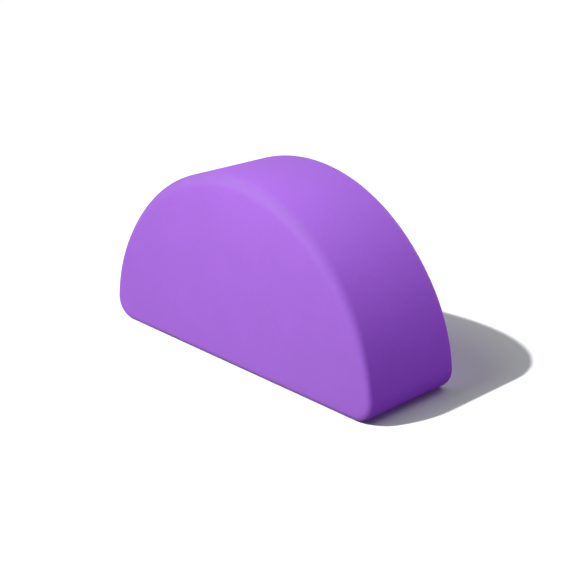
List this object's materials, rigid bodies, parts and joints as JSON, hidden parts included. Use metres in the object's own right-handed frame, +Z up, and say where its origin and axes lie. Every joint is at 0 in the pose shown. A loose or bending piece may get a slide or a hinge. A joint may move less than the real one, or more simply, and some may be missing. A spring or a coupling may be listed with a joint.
{
  "type": "yoga block",
  "caption": "Half-moon yoga block of firm closed-cell foam with a flat base, an arched top, flat parallel faces and rounded rims.",
  "frame": {"origin": "centre of the flat base, on the surface that the block stands on", "axes": "+X along the block's length, +Y through its thickness from the front face to the rear face, +Z up to the crown of the arch"},
  "size_m": [0.245, 0.076, 0.125],
  "materials": {
    "foam": "matte purple closed-cell EVA foam with a fine skin texture"
  },
  "bodies": {
    "root": {"foam_block": "foam"}
  },
  "joints": []
}
